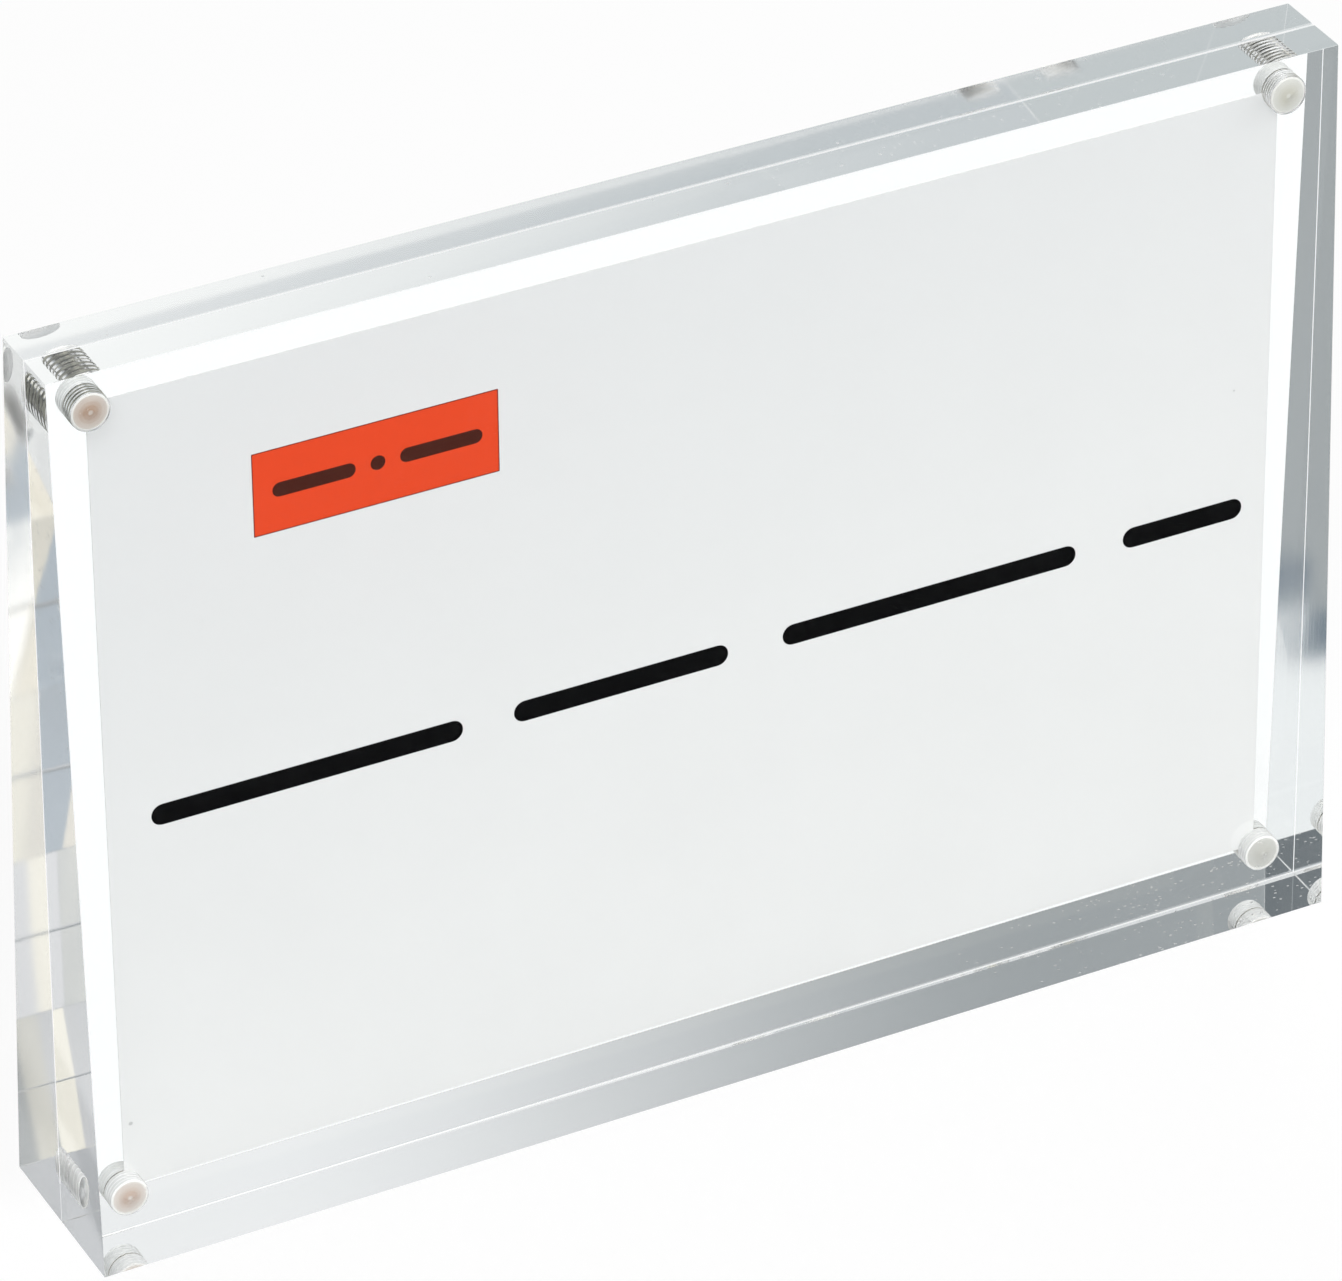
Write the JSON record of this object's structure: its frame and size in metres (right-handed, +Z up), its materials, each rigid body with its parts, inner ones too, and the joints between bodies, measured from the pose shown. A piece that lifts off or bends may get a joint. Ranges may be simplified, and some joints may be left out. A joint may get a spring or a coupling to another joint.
{
  "type": "sign holder",
  "caption": "Free-standing clear acrylic sign holder: a front and a back wedge block clamp a printed card between them, held by magnets in the corners.",
  "frame": {"origin": "middle of the footprint, on the surface that the blocks stand on", "axes": "+X to the right seen from the front, +Y from front to back, +Z up"},
  "size_m": [0.178, 0.0262, 0.127],
  "materials": {
    "clear_acrylic": "clear, polished",
    "card_paper": "matt, printed",
    "magnet_nickel": "nickel plated",
    "magnet_glue": "satin"
  },
  "bodies": {
    "back_half": {"back_block": "clear_acrylic", "back_magnet_top_left": "magnet_nickel", "back_magnet_top_right": "magnet_nickel", "back_magnet_bottom_left": "magnet_nickel", "back_magnet_bottom_right": "magnet_nickel", "back_glue_top_left": "magnet_glue", "back_glue_top_right": "magnet_glue", "back_glue_bottom_left": "magnet_glue", "back_glue_bottom_right": "magnet_glue"},
    "front_half": {"front_block": "clear_acrylic", "front_magnet_top_left": "magnet_nickel", "front_magnet_top_right": "magnet_nickel", "front_magnet_bottom_left": "magnet_nickel", "front_magnet_bottom_right": "magnet_nickel", "front_glue_top_left": "magnet_glue", "front_glue_top_right": "magnet_glue", "front_glue_bottom_left": "magnet_glue", "front_glue_bottom_right": "magnet_glue"},
    "card": {"insert_card": "card_paper"}
  },
  "joints": [
    {"name": "front_pull", "type": "slide", "parent": "back_half", "child": "front_half", "axis": [0, -1, 0], "range_m": [0, 0.08]},
    {"name": "card_lift", "type": "slide", "parent": "back_half", "child": "card", "axis": [0, 0, 1], "range_m": [0, 0.12]}
  ]
}
